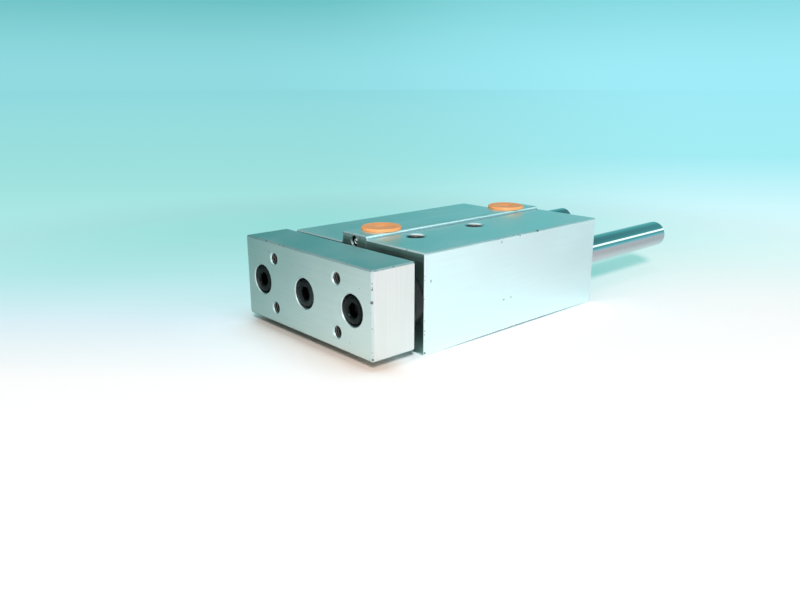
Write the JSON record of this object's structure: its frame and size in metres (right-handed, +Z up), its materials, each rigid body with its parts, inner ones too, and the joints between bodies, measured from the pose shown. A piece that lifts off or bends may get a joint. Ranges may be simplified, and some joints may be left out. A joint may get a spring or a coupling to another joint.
{
  "type": "pneumatic slide table",
  "caption": "Guided pneumatic cylinder: a tool plate on a piston rod and guide rods slides out of a flat stepped aluminium housing with air ports on its top rail.",
  "frame": {"origin": "centre of the four fixing holes, on the plane of the housing's base", "axes": "+X across the housing, to the right as seen from the tool plate; +Y along the rods, from the tool plate to the rear; +Z up from the base"},
  "size_m": [0.064, 0.1621, 0.033],
  "materials": {
    "anodised": "clear anodised, fine milled",
    "brushed": "clear anodised over a horizontal brushed grain",
    "turned": "turned, satin",
    "black_steel": "black oxide, oiled",
    "spring_steel": "phosphated spring steel",
    "hard_chrome": "ground and polished hard chrome",
    "bearing_steel": "polished ball",
    "bronze": "oil-filled sintered bronze",
    "rubber_black": "matt moulded rubber",
    "urethane": "amber polyurethane",
    "plug_orange": "moulded polyethylene",
    "guide_strip": "filled acetal",
    "magnet": "plastic-bonded ferrite"
  },
  "bodies": {
    "housing": {"body": "anodised", "rod_collar": "turned", "rod_bush": "bronze", "rod_seal": "rubber_black", "collar_gasket": "rubber_black", "collar_clip": "spring_steel", "front_damper": "urethane", "head_cover": "turned", "head_gasket": "rubber_black", "head_clip": "spring_steel", "rear_damper": "urethane", "guide_bush_front_left": "bronze", "guide_bush_front_right": "bronze", "guide_bush_rear_left": "bronze", "guide_bush_rear_right": "bronze", "passage_ball": "bearing_steel", "port_plug_front": "plug_orange", "port_plug_rear": "plug_orange"},
    "slide": {"tool_plate": "brushed", "plate_screws": "black_steel", "piston_rod": "hard_chrome", "piston": "turned", "piston_seal": "rubber_black", "piston_wear_ring": "guide_strip", "piston_magnet": "magnet", "guide_rod_left": "hard_chrome", "guide_rod_right": "hard_chrome", "bumper_left": "rubber_black", "bumper_right": "rubber_black"}
  },
  "joints": [
    {"name": "table_slide", "type": "slide", "parent": "housing", "child": "slide", "axis": [0, -1, 0], "range_m": [0, 0.05]}
  ]
}
